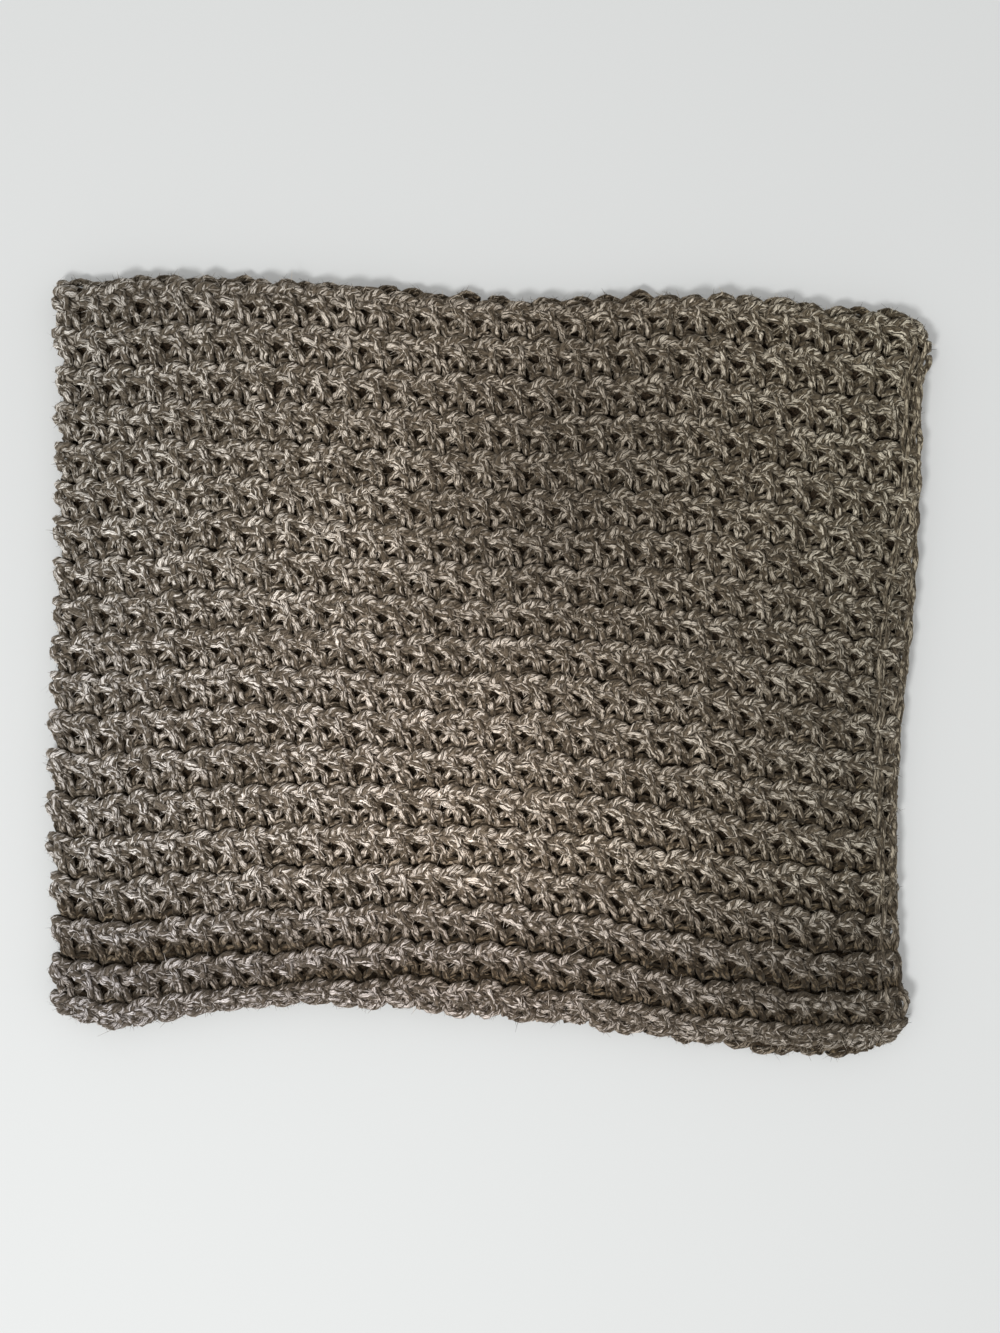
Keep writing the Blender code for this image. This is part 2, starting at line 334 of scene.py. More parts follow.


# %% [markdown]
# ## Tone of the yarn, and painted shade
# Whole areas of the scarf are lighter or darker; the two darker areas at the hem are painted shade
# of its deep furrows. The yarn is cool at the left, pinkish in the middle and olive at the right,
# and the hem is a little bluer. Each row of the first table is one soft area, in millimetres, and
# how much it lightens.

# %% Soft areas of tone
TONE_COLUMNS = ("x", "y", "half_width", "half_height", "lighter")
TONE_AND_SHADE_AREAS = (
    (-65.0, -10.0, 95.0, 95.0, 0.34), (0.0, -45.0, 42.0, 34.0, 0.18),
    (0.0, -66.0, 80.0, 20.0, 0.18), (71.0, 10.0, 26.0, 16.0, -0.12),
    (34.0, 75.0, 44.0, 50.0, -0.44), (14.0, 38.0, 36.0, 26.0, -0.20),
    # Painted shade: the areas at (103, -105) and (-80, -101) darken the deep furrows at the hem.
    (125.0, -20.0, 52.0, 130.0, -0.37), (103.0, -105.0, 63.0, 24.0, -0.34),
    (-80.0, -101.0, 62.0, 14.0, -0.10), (-60.0, 126.0, 110.0, 12.0, -0.12),
    (-80.0, -46.0, 40.0, 28.0, 0.10), (8.0, -106.0, 36.0, 10.0, 0.16),
)
# Red and blue of the yarn beside its green, by X.
HUE_COLUMNS = ("x", "red", "blue")
HUES = ((-135.0, 0.92, 1.08), (15.0, 0.99, 0.98), (125.0, 0.95, 0.94))
LOWER_BLUE, UPPER_BLUE = 1.02, 0.98  # the lower half is a little bluer
LOWER_TO, UPPER_FROM = -30.0, 75.0  # Y where each of them is whole
HEM_BLUE = 0.05  # and the last rounds are bluer again
HEM_TO, HEM_GONE = -105.0, -65.0  # Y where that is whole, and where it has faded out
# Painted shade and light: colour factors for the deepest yarn and for the top of the yarn.
DEEPEST, TOPMOST = (0.36, 0.295, 0.205), (1.115, 1.11, 1.12)
DEEP_AT, TOP_AT = -2.2, 3.0  # heights of those two out of the cloth, in millimetres


def tone_and_shade_at(points):
    """Colour factors of the yarn at points in millimetres."""
    lighter = np.zeros(len(points))
    for row in TONE_AND_SHADE_AREAS:
        area = dict(zip(TONE_COLUMNS, row))
        u = (points[:, 0] - area["x"]) / area["half_width"]
        v = (points[:, 1] - area["y"]) / area["half_height"]
        lighter += area["lighter"] * np.exp(-(u**2) - v**2)
    table = by_column(HUE_COLUMNS, HUES)
    red = smooth_curve(table["x"], table["red"], points[:, 0])
    blue = smooth_curve(table["x"], table["blue"], points[:, 0])
    upper = ramp(points[:, 1], LOWER_TO, UPPER_FROM)
    blue = blue * (LOWER_BLUE * (1 - upper) + UPPER_BLUE * upper)
    blue = blue * (1 + HEM_BLUE * (1 - ramp(points[:, 1], HEM_TO, HEM_GONE)))
    return np.exp(lighter)[:, None] * np.stack([red, 1 + 0 * red, blue], axis=-1)


def painted_depth_shade(height):
    """Painted shade and light by height: yarn deep in the cloth, under the fuzz, is painted dark and
    warm, and the top of the yarn a little lighter.
    """
    share = ramp(height, DEEP_AT, TOP_AT)[:, None]
    return np.array(DEEPEST) * (1 - share) + np.array(TOPMOST) * share


# %% [markdown]
# ## Yarn as tubes
# A strand is a smooth line through a few points with a round section swept along it. Each
# strand carries two maps: `yarn` measures along and around it, for the twist of the plies,
# and `OFBake` gives every strand its own strip of the picture that the colours are baked to.

# %% Smooth lines and tubes
LUMPS = 0.09  # how uneven the yarn's section is, as a share of its radius


def curve_weights(given, wanted):
    """Weights that carry `given` points to `wanted` points of a smooth line through them."""
    t = np.linspace(0, given - 1, wanted)
    k = np.minimum(t.astype(int), given - 2)
    f = t - k
    weights = np.zeros((wanted, given))
    blend = (
        -0.5 * f + f**2 - 0.5 * f**3,
        1 - 2.5 * f**2 + 1.5 * f**3,
        0.5 * f + 2 * f**2 - 1.5 * f**3,
        -0.5 * f**2 + 0.5 * f**3,
    )
    for step, w in zip((-1, 0, 1, 2), blend):
        for row, (at, value) in enumerate(zip(k + step, w)):
            if at < 0:
                weights[row, 0] += 2 * value
                weights[row, 1] -= value
            elif at > given - 1:
                weights[row, -1] += 2 * value
                weights[row, -2] -= value
            else:
                weights[row, at] += value
    return weights


def unit(vectors):
    return vectors / np.maximum(np.linalg.norm(vectors, axis=-1, keepdims=True), 1e-9)


def side_directions(paths):
    """Two directions square to each path that don't spin along it."""
    ahead = unit(np.gradient(paths, axis=1))
    first = np.cross(ahead[:, 0], (0.0, 0.0, 1.0))
    first[np.linalg.norm(first, axis=1) < 1e-3] = (1.0, 0.0, 0.0)
    up = unit(np.cross(first, ahead[:, 0]))
    ups = np.zeros_like(paths)
    for i in range(paths.shape[1]):
        up = unit(up - ahead[:, i] * np.sum(up * ahead[:, i], axis=1, keepdims=True))
        ups[:, i] = up
    return ahead, ups, np.cross(ahead, ups)


def sweep(laid, radii, sides, draw, lead, threads, cells):
    """Tubes along many paths at once, with their two maps and a number for each strand.

    The `yarn` map holds millimetres along, and threads counted round, which climb a full
    turn in every `lead` millimetres. `height` is how far each point stands out of the cloth,
    which sets its painted depth shade, and `cells` the strip of the baked picture that each strand
    has.
    """
    paths = laid.points
    count, length, _ = paths.shape
    _, ups, rights = side_directions(paths)
    angle = np.arange(sides) * 2 * math.pi / sides
    ring = ups[:, :, None] * np.cos(angle)[:, None] + rights[:, :, None] * np.sin(angle)[:, None]
    lumps = 1 + draw.normal(0, LUMPS, (count, length, sides))
    ring = ring * (radii[:, :, None] * lumps)[..., None]
    points = paths[:, :, None] + ring
    height = laid.outs[:, :, None] + np.sum(ring * laid.normals[:, :, None], axis=-1)
    steps = np.linalg.norm(np.diff(paths, axis=1), axis=2)
    along = np.concatenate([np.zeros((count, 1)), np.cumsum(steps, axis=1)], axis=1)
    index = np.arange(count * length * sides).reshape(count, length, sides)
    around = np.roll(index, -1, axis=2)
    faces = [index[:, :-1], around[:, :-1], around[:, 1:], index[:, 1:]]
    faces = np.stack(faces, axis=-1).reshape(-1, 4)

    shape = (count, length - 1, sides)
    a0 = np.broadcast_to(along[:, :-1, None], shape)
    a1 = np.broadcast_to(along[:, 1:, None], shape)
    r0 = np.broadcast_to(np.arange(sides) / sides, shape)
    r1 = r0 + 1 / sides
    corners_along = np.stack([a0, a0, a1, a1], axis=-1)
    corners_round = np.stack([r0, r1, r1, r0], axis=-1)
    number = draw.random(count)
    start = draw.random(count)[:, None, None, None]
    counted = (corners_round + corners_along / lead + start) * threads
    yarn = np.stack([corners_along, counted], axis=-1)
    strip = np.stack(
        [corners_along / np.maximum(along[:, -1], 1e-6)[:, None, None, None], corners_round],
        axis=-1,
    )
    low, size = cells
    strip = low[:, None, None, None] + strip * size
    return {
        "points": points.reshape(-1, 3),
        "faces": faces,
        "yarn": yarn.reshape(-1, 2),
        "strip": strip.reshape(-1, 2),
        "number": np.repeat(number, length * sides),
        "height": height.ravel(),
    }


def make_piece(name, parts, material):
    """One mesh from many swept strands, in metres in the part's frame."""
    offsets = np.cumsum([0] + [len(p["points"]) for p in parts[:-1]])
    points = settle(np.concatenate([p["points"] for p in parts]))
    tones_and_shade = tone_and_shade_at(points)
    # Painted shade: deeper yarn and furrows are painted darker and warmer, and the top of the yarn a
    # little lighter.
    tones_and_shade = tones_and_shade * painted_depth_shade(np.concatenate([p["height"] for p in parts]))
    points = (points - (*MIDDLE, 0.0)) * MM
    faces = np.concatenate([p["faces"] + o for p, o in zip(parts, offsets)])
    mesh = bpy.data.meshes.new(name)
    mesh.vertices.add(len(points))
    mesh.vertices.foreach_set("co", points.astype(np.float32).ravel())
    mesh.loops.add(faces.size)
    mesh.loops.foreach_set("vertex_index", faces.astype(np.int32).ravel())
    mesh.polygons.add(len(faces))
    mesh.polygons.foreach_set("loop_start", np.arange(0, faces.size, 4, dtype=np.int32))
    mesh.update(calc_edges=True)
    for layer, key in (("OFBake", "strip"), ("yarn", "yarn")):
        values = np.concatenate([p[key] for p in parts])
        mesh.uv_layers.new(name=layer).data.foreach_set("uv", values.astype(np.float32).ravel())
    numbers = np.concatenate([p["number"] for p in parts]).astype(np.float32)
    mesh.attributes.new("strand", "FLOAT", "POINT").data.foreach_set("value", numbers)
    tones_and_shade = np.concatenate([tones_and_shade, np.ones((len(points), 1))], axis=1).astype(np.float32)
    mesh.attributes.new("tone_and_shade", "FLOAT_COLOR", "POINT").data.foreach_set("color", tones_and_shade.ravel())
    mesh.polygons.foreach_set("use_smooth", np.ones(len(faces), bool))
    mesh.materials.append(material)
    piece = bpy.data.objects.new(name, mesh)
    bpy.context.scene.collection.objects.link(piece)
    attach(piece, "root")
    print(name, "triangles", 2 * len(faces), "strands", sum(len(set(p["number"])) for p in parts))
    return piece


# %% [markdown]
# ## Shader maths as plain expressions
# A shader is easier to read as sums than as a net of nodes. `Socket` wraps one output, and
# each operator on it adds a Math node, so `a * 2 + b` builds the graph. Any other node comes
# from one method that takes its type, its settings and what goes into its sockets.

# %% A small shader language
class Socket:
    def __init__(self, tree, output):
        self.tree, self.output = tree, output

    def math(self, operation, first, second=None):
        node = self.tree.nodes.new("ShaderNodeMath")
        node.operation = operation
        for socket, value in zip(node.inputs, (first, second)):
            if isinstance(value, Socket):
                self.tree.links.new(value.output, socket)
            elif value is not None:
                socket.default_value = value
        return Socket(self.tree, node.outputs[0])

    def __add__(self, other):
        return self.math("ADD", self, other)

    def __mul__(self, other):
        return self.math("MULTIPLY", self, other)

    def __sub__(self, other):
        return self.math("SUBTRACT", self, other)

    def __rsub__(self, other):
        return self.math("SUBTRACT", other, self)

    def __truediv__(self, other):
        return self.math("DIVIDE", self, other)

    __radd__, __rmul__ = __add__, __mul__

    def size(self):
        return self.math("ABSOLUTE", self)

    def floor(self):
        return self.math("FLOOR", self)

    def fraction(self):
        return self.math("FRACT", self)

    def kept(self):
        """Held between 0 and 1."""
        return self.math("MINIMUM", self.math("MAXIMUM", self, 0.0), 1.0)


class Finish:
    """A material whose graph is written as expressions."""

    def __init__(self, name):
        self.material = bpy.data.materials.new(name)
        self.material.use_nodes = True
        self.tree = self.material.node_tree
        self.tree.nodes.clear()

    def node(self, kind, settings=(), output=0, **values):
        node = self.tree.nodes.new(kind)
        for key, value in dict(settings).items():
            setattr(node, key, value)
        for key, value in values.items():
            socket = node.inputs[int(key[1:]) if key[1:].isdigit() else key.replace("_", " ")]
            if isinstance(value, Socket):
                self.tree.links.new(value.output, socket)
            else:
                socket.default_value = value
        return Socket(self.tree, node.outputs[output]) if len(node.outputs) else None

    def mix(self, share, first, second):
        return self.node("ShaderNodeMix", {"data_type": "RGBA"}, 2, i0=share, i6=first, i7=second)

    def tinted(self, colour, tone_and_shade):
        settings = {"data_type": "RGBA", "blend_type": "MULTIPLY"}
        return self.node("ShaderNodeMix", settings, 2, i0=1.0, i6=colour, i7=tone_and_shade)

    def noise(self, where, scale=1.0, detail=1.0, roughness=0.5):
        return self.node(
            "ShaderNodeTexNoise", {"noise_dimensions": "3D"},
            Vector=where, Scale=scale, Detail=detail, Roughness=roughness,
        )

    def point(self, x, y, z):
        return self.node("ShaderNodeCombineXYZ", X=x, Y=y, Z=z)

    def surface(self, **values):
        shader = self.node("ShaderNodeBsdfPrincipled", **values)
        self.node("ShaderNodeOutputMaterial", Surface=shader)
        return self.material


# %% [markdown]
# ## Marled yarn
# The yarn is three or four plies of brown-grey fibre with pale threads run in. Close by, each
# ply shows dark fibres, painted shade in the groove beside its neighbour, and one or two pale
# threads that come to the surface for a few millimetres and sink again. All of it follows the twist.

# %% The yarn materials
DARK_FIBRE, PALE_FIBRE = (0.024, 0.0155, 0.008, 1), (0.188, 0.145, 0.103, 1)
# The groove's colour is painted shade, darker where the plies meet.
GROOVE_SHADE, THREAD = (0.018, 0.0115, 0.0055, 1), (0.965, 0.845, 0.725, 1)
JOIN_THREAD = (0.74, 0.62, 0.49, 1)
# The inside of the cloth is painted darker than the yarn: painted shade in the deep gaps between
# strands.
INNER_SHADED_DARK, INNER_SHADED_PALE = (0.016, 0.010, 0.0045, 1), (0.145, 0.098, 0.059, 1)
# Where the pale threads lie across a ply and how wide they are, as shares of its width.
THREAD_PAIR, LONE_THREAD, THREAD_WIDTH = (0.18, 0.43), 0.74, 0.14


def marled_yarn(name, thread_colour=THREAD):
    f = Finish(name)
    coordinates = f.node("ShaderNodeUVMap", {"uv_map": "yarn"})
    split = f.tree.nodes.new("ShaderNodeSeparateXYZ")
    f.tree.links.new(coordinates.output, split.inputs[0])
    along, around = Socket(f.tree, split.outputs[0]), Socket(f.tree, split.outputs[1])
    strand = f.node("ShaderNodeAttribute", {"attribute_name": "strand"}, 2)
    tone_and_shade = f.node("ShaderNodeAttribute", {"attribute_name": "tone_and_shade"}, 0)
    where = f.node("ShaderNodeTexCoord", output=3)
    waver = f.noise(where, scale=450.0, detail=2.0)

    lay = around + (waver - 0.5)
    cell, part = lay.floor(), lay.fraction()
    off = (part - 0.5).size()
    groove_shade = ((off - 0.30) * 6.0).kept()

    def surfacing(seed):
        """Where the pale threads of a ply come to the surface."""
        shown = f.noise(f.point(along * 0.36, cell * 3.7 + seed, strand * 37.0))
        return ((shown - 0.478) * 9.0).kept()

    def pale_thread(at):
        aside = (part - at) / THREAD_WIDTH
        return (1.0 - aside * aside).kept()

    pair = (pale_thread(THREAD_PAIR[0]) + pale_thread(THREAD_PAIR[1])) * surfacing(0.0)
    thread = (pair + pale_thread(LONE_THREAD) * surfacing(9.3)).kept()
    fibre = f.noise(f.point(along * 0.7, lay * 3.6, strand * 11.0), detail=4.0, roughness=0.8)
    depth = ((fibre - 0.39) * 4.6).kept()

    colour = f.mix(depth, DARK_FIBRE, PALE_FIBRE)
    colour = f.mix(groove_shade * (1 - depth * 0.5), colour, GROOVE_SHADE)
    colour = f.mix(thread * (0.78 + strand * 0.20), colour, thread_colour)
    # The tone attribute also carries painted shade: the depth shade and the furrow shade.
    colour = f.tinted(colour, tone_and_shade)
    height = (1 - off * off * 4.0) * 0.5 + thread * 0.6 + fibre * 0.6
    relief = f.node("ShaderNodeBump", Height=height, Strength=1.0, Distance=0.45 * MM)
    return f.surface(
        Base_Color=colour, Roughness=0.9, Normal=relief,
        Sheen_Weight=0.25, Sheen_Roughness=0.6, Sheen_Tint=(0.9, 0.78, 0.62, 1),
        Specular_IOR_Level=0.12,
    )


def plain_finish(name, colour, roughness, painted_glow):
    f = Finish(name)
    # A glow above zero is painted light: the surface lights itself.
    return f.surface(
        Base_Color=(*colour, 1), Roughness=roughness, Specular_IOR_Level=0.3,
        Emission_Color=(1.0, 1.0, 0.985, 1), Emission_Strength=painted_glow,
    )


def fine_fibre(name, dark, middle, pale):
    """Single fibres of three colours, shaded as the yarn they leave is."""
    f = Finish(name)
    tone_and_shade = f.node("ShaderNodeAttribute", {"attribute_name": "tone_and_shade"}, 0)
    number = f.node("ShaderNodeAttribute", {"attribute_name": "strand"}, 2)
    colour = f.mix(((number - 0.30) * 9.0).kept(), (*dark, 1), (*middle, 1))
    colour = f.mix(((number - 0.70) * 9.0).kept(), colour, (*pale, 1))
    colour = f.tinted(colour, tone_and_shade)
    return f.surface(Base_Color=colour, Roughness=0.8, Specular_IOR_Level=0.12)


def shaded_inner_cloth(name):
    """The inside of the cloth between the strands, brown and uneven, and darker than the yarn:
    painted shade in the deep gaps.
    """
    f = Finish(name)
    where = f.node("ShaderNodeTexCoord", output=3)
    uneven = ((f.noise(where, scale=1500.0, detail=3.0, roughness=0.7) - 0.38) * 3.4).kept()
    colour = f.mix(uneven, INNER_SHADED_DARK, INNER_SHADED_PALE)
    relief = f.node("ShaderNodeBump", Height=uneven, Strength=1.0, Distance=0.8 * MM)
    return f.surface(Base_Color=colour, Roughness=0.95, Normal=relief, Specular_IOR_Level=0.2)


yarn = marled_yarn("marled_yarn")
back_yarn = marled_yarn("marled_yarn_back")
cloth_inside = shaded_inner_cloth("shaded_inner_cloth")
seam_yarn = marled_yarn("join_yarn", JOIN_THREAD)
hair_finish = fine_fibre(
    "loose_fibre", (0.028, 0.019, 0.010), (0.20, 0.156, 0.112), (0.76, 0.655, 0.54)
)
print("materials", len(bpy.data.materials))

# %% [markdown]
# ## The body of the cloth
# Under the strands lies a closed shell, less than a millimetre thick, that runs round the
# whole tube. It closes the gaps between the strands, as the inner fibres of real yarn do.

# %% The shell
SHELL_OUTER, SHELL_INNER = -1.9, -2.7
SHELL_STEP, SHELL_LINES = 0.5, 74  # stitches from point to point, and lines down the tube
SHELL_MARGIN = 0.12  # rounds that it stops short of both open edges
SHELL_RIB, RIB_CREST, RIB_SUNK = 0.5, 0.45, 0.3


def make_shell(name, material):
    stitch = np.arange(0, AROUND, SHELL_STEP)
    down = np.linspace(SHELL_MARGIN, ROUNDS - SHELL_MARGIN, SHELL_LINES)
    s, d = np.meshgrid(stitch, down, indexing="ij")
    rib = SHELL_RIB * np.cos(2 * math.pi * (d % 1.0 - RIB_CREST)) - RIB_SUNK
    grids = [place(s, d, SHELL_OUTER + rib).points, place(s, d, SHELL_INNER + rib).points]
    ns, nd = s.shape
    points = np.concatenate([g.reshape(-1, 3) for g in grids])
    index = np.arange(2 * ns * nd).reshape(2, ns, nd)
    after = np.roll(index, -1, axis=1)
    outer = [index[0, :, :-1], index[0, :, 1:], after[0, :, 1:], after[0, :, :-1]]
    inner = [index[1, :, :-1], after[1, :, :-1], after[1, :, 1:], index[1, :, 1:]]
    top = [index[0, :, 0], after[0, :, 0], after[1, :, 0], index[1, :, 0]]
    bottom = [index[0, :, -1], index[1, :, -1], after[1, :, -1], after[0, :, -1]]
    faces = [np.stack(f, axis=-1).reshape(-1, 4) for f in (outer, inner, top, bottom)]
    faces = np.concatenate(faces)
    points = (settle(points) - (*MIDDLE, 0.0)) * MM
    mesh = bpy.data.meshes.new(name)
    mesh.from_pydata(points.tolist(), [], faces.tolist())
    mesh.polygons.foreach_set("use_smooth", np.ones(len(faces), bool))
    mesh.materials.append(material)
    shell = bpy.data.objects.new(name, mesh)
    bpy.context.scene.collection.objects.link(shell)
    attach(shell, "root")
    print(name, "triangles", 2 * len(faces))
    return shell


shell = make_shell("cloth_tube", cloth_inside)
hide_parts("front_panel", "back_panel")

# %% [markdown]
# ## One stitch
# Each stitch is worked between two rounds. A loop lies along the ridge, a second one crosses
# below it and dives into the gap, two posts stand between the ridge and the furrow, and a
# strand comes back up beside the gap. Points are in stitches to the right of the gap, rounds
# below the furrow, and millimetres out from the middle of the cloth.

# %% The stitch and its table
STRANDS = {
    "upper": ((-.09, .39, -1.7), (-.02, .32, .0), (.10, .235, 1.2), (.30, .15, 1.7),
              (.52, .125, 1.6), (.72, .17, .9), (.86, .24, -.5), (.95, .31, -1.9)),
    "lower": ((-.16, .32, -2.0), (-.09, .34, -.6), (.01, .37, .9), (.15, .405, 1.7),
              (.30, .46, 1.8), (.43, .525, 1.5), (.53, .60, .6), (.57, .70, -.8)),
    "middle": ((.36, .19, -.4), (.43, .27, .6), (.485, .37, 1.4), (.51, .47, 1.7),
               (.52, .56, .9), (.52, .64, -.8)),
    "post": ((.55, .53, -.4), (.59, .63, .6), (.625, .74, 1.0), (.64, .84, .8),
             (.645, .93, .2), (.645, 1.02, -1.3)),
    "thin_post": ((.60, .49, -.4), (.705, .57, -.2), (.815, .655, -.2), (.91, .745, .4),
                  (.952, .84, .9), (.965, .93, .3), (.975, 1.03, -1.2)),
    "riser": ((.04, .865, -1.9), (.14, .80, -.9), (.25, .735, .1), (.37, .66, .8),
              (.47, .555, .6)),
    "below": ((.02, 1.01, -1.3), (.24, .98, -1.1), (.44, .98, -1.0), (.62, 1.01, -1.2)),
    "dent": ((.56, .29, -1.3), (.67, .36, -.8), (.78, .44, -.8), (.90, .50, -1.6)),
    "fill": ((.06, .30, -.8), (.20, .29, .2), (.34, .29, .3), (.48, .32, -.4)),
    "behind": ((-.12, .26, -2.2), (.2, .28, -1.9), (.55, .26, -1.9), (.95, .26, -2.2)),
}
# The back is worked with the coarse samples, and leaves out the strands that have none.
STRAND_COLUMNS = ("samples", "coarse_samples", "radius", "lead", "threads")
STRAND_SIZES = {
    "upper": (15, 11, 1.72, 10.0, 4),
    "lower": (14, 10, 1.64, 24.0, 4),
    "middle": (7, 5, 1.52, 22.0, 4),
    "post": (8, 5, 1.42, 20.0, 3),
    "thin_post": (9, 5, 1.28, 20.0, 3),
    "riser": (7, 5, 1.34, 20.0, 3),
    "below": (4, 0, 1.60, 18.0, 3),
    "dent": (4, 0, 1.40, 18.0, 3),
    "fill": (4, 0, 1.30, 18.0, 3),
    "behind": (4, 0, 1.60, 14.0, 3),
}
UNEVEN = np.array((0.025, 0.013, 0.20))  # how far each point strays, in stitches, rounds and mm
RADIUS_UNEVEN = 0.05  # as a share of a strand's radius
HAND = {"shift": 0.034, "drop": 0.014, "turn": 0.038, "grow": 0.030}
HAND_SEED = 5
STITCH_MIDDLE = (0.33, 0.5)
TURN_ACROSS, TURN_DOWN = 1.4, 0.7  # a stitch is 1.4 times as tall as it is wide
STRIP_FILL = (0.94, 0.84)  # of its cell in the baked picture, which leaves a margin
CELLS_TALL = 3  # cells up that picture for each one across it


def stitch_paths(name, columns, rounds, draw, samples):
    """Paths of one strand of the stitch, for every column and round."""
    c, r = (g.ravel().astype(float) for g in np.meshgrid(columns, rounds, indexing="ij"))
    control = np.repeat(np.array(STRANDS[name])[None], len(c), axis=0)
    # The hand's unevenness belongs to the whole stitch, so its draw depends on the place only.
    hand = hand_of(c, r)
    middle = np.array(STITCH_MIDDLE)
    u, v = control[:, :, 0] - middle[0], control[:, :, 1] - middle[1]
    turn = hand["turn"][:, None]
    grow = 1 + hand["grow"][:, None]
    u, v = (u * grow - v * turn * TURN_ACROSS), (v * grow + u * turn * TURN_DOWN)
    control[:, :, 0] = u + middle[0] + (c + hand["shift"])[:, None]
    control[:, :, 1] = v + middle[1] + (r + hand["drop"])[:, None]
    control += draw.normal(0, 1, control.shape) * UNEVEN
    path = np.einsum("nc,scd->snd", curve_weights(control.shape[1], samples), control)
    return place(path[:, :, 0], path[:, :, 1], path[:, :, 2])


def hand_of(column, round_number):
    """Shift, drop, turn and growth of each stitch, the same each time it is asked for."""
    draw = np.random.default_rng(HAND_SEED)
    table = draw.normal(0, 1, (AROUND, ROUNDS + 2, len(HAND))) * tuple(HAND.values())
    chosen = table[column.astype(int) % AROUND, (round_number.astype(int) + 1) % (ROUNDS + 2)]
    return dict(zip(HAND, chosen.T))


def strips(count, slots, slot):
    """Lower corners and size of one strand's strip in a square of `count` stitches."""
    across_count = math.ceil(math.sqrt(count / CELLS_TALL))
    up_count = math.ceil(count / across_count)
    cell = np.arange(count)
    low = np.stack([(cell % across_count) / across_count,
                    (cell // across_count + slot / slots) / up_count], axis=-1)
    size = np.array((STRIP_FILL[0] / across_count, STRIP_FILL[1] / slots / up_count))
    return low, size


def work_stitches(columns, rounds, seed, sides, coarse=False):
    """All the strands of a block of stitches, and the paths that loose fibres leave from."""
    draw = np.random.default_rng(seed)
    names = [n for n in STRANDS if not (coarse and STRAND_SIZES[n][1] == 0)]
    parts, sources = [], []
    for slot, name in enumerate(names):
        size = dict(zip(STRAND_COLUMNS, STRAND_SIZES[name]))
        samples = size["coarse_samples"] if coarse else size["samples"]
        laid = stitch_paths(name, columns, rounds, draw, samples)
        count = len(laid.points)
        radii = size["radius"] * (1 + draw.normal(0, RADIUS_UNEVEN, count))[:, None]
        radii = np.repeat(radii, samples, axis=1)
        cells = strips(count, len(names), slot)
        parts.append(sweep(laid, radii, sides, draw, size["lead"], size["threads"], cells))
        sources.append((name, laid, radii))
    return parts, sources


FRONT_COLUMNS = np.arange(-1, 32)
BACK_COLUMNS = np.arange(32, 60)
FRONT_SIDES, BACK_SIDES = 6, 5
FRONT_SEED, BACK_SEED = 20, 30
FRONT_BLOCKS = (("upper", 0, 6), ("middle", 6, 12), ("lower", 12, ROUNDS))  # name and rounds
BACK_BLOCKS = (("upper", 0, 10), ("lower", 10, ROUNDS))
front_pieces, sources = [], {}
for seed, (name, first, last) in enumerate(FRONT_BLOCKS, FRONT_SEED):
    parts, found = work_stitches(FRONT_COLUMNS, np.arange(first, last), seed, FRONT_SIDES)
    piece = make_piece(f"front_yarn_{name}", parts, yarn)
    front_pieces.append(piece)
    sources[name] = found
for seed, (name, first, last) in enumerate(BACK_BLOCKS, BACK_SEED):
    parts, _ = work_stitches(BACK_COLUMNS, np.arange(first, last), seed, BACK_SIDES, coarse=True)
    piece = make_piece(f"back_yarn_{name}", parts, back_yarn)

# %% [markdown]
# ## The open edges
# The tube was begun with a chain, and its loops show as a row of bumps along the hem, where
# the cloth curls under. At the top the last round ends in one bump to each stitch.

# %% Foundation loops and top loops
EDGE_STRANDS = {
    "chain": (
        ((-.10, 18.62, -1.2), (.02, 18.84, .2), (.18, 18.98, .9), (.36, 19.04, 1.0),
         (.55, 19.00, .8), (.74, 18.90, .3), (.92, 18.76, -.4), (1.02, 18.66, -1.4)),
        14, 1.4, 12.0),
    "chain_under": (
        ((-.05, 18.80, -2.0), (.12, 18.98, -1.2), (.34, 19.06, -.8), (.6, 19.03, -1.0),
         (.84, 18.92, -1.8)),
        9, 1.45, 14.0),
    "top_loop": (
        ((-.08, .14, -2.4), (.10, .02, -1.6), (.33, -.05, -1.2), (.58, .01, -1.5),
         (.80, .12, -2.3)),
        9, 1.50, 14.0),
}
EDGE_SEED, EDGE_SIDES, EDGE_THREADS = 41, 7, 4
EDGE_SHIFT, EDGE_DROP, EDGE_UNEVEN = 0.07, 0.03, 0.06
EDGE_PAST_FOLD = 2.4  # how much further out the loops stand at the side folds
EDGE_OPEN = 1.5  # an edge lies open, so it is shaded as if this much higher


def work_edges(columns, seed, sides):
    draw = np.random.default_rng(seed)
    parts, found = [], []
    for slot, (name, (control, samples, radius, lead)) in enumerate(EDGE_STRANDS.items()):
        base = np.repeat(np.array(control)[None], len(columns), axis=0)
        base[:, :, 0] += (columns + draw.normal(0, EDGE_SHIFT, len(columns)))[:, None]
        base[:, :, 1] += draw.normal(0, EDGE_DROP, len(columns))[:, None]
        base += draw.normal(0, 1, base.shape) * UNEVEN
        path = np.einsum("nc,scd->snd", curve_weights(len(control), samples), base)
        at_fold = np.abs(read_map(OUTWARD, path[:, :, 0], path[:, :, 1])[..., 0])
        laid = place(path[:, :, 0], path[:, :, 1], path[:, :, 2] + EDGE_PAST_FOLD * at_fold)
        laid = laid._replace(outs=laid.outs + EDGE_OPEN)
        spread = 1 + draw.normal(0, EDGE_UNEVEN, (len(columns), 1))
        radii = radius * spread * np.ones((1, samples))
        cells = strips(len(columns), len(EDGE_STRANDS), slot)
        parts.append(sweep(laid, radii, sides, draw, lead, EDGE_THREADS, cells))
        found.append((name, laid, radii))
    return parts, found


edge_parts, sources["edges"] = work_edges(np.arange(0, AROUND), EDGE_SEED, EDGE_SIDES)
edges = make_piece("edge_loops", edge_parts, yarn)

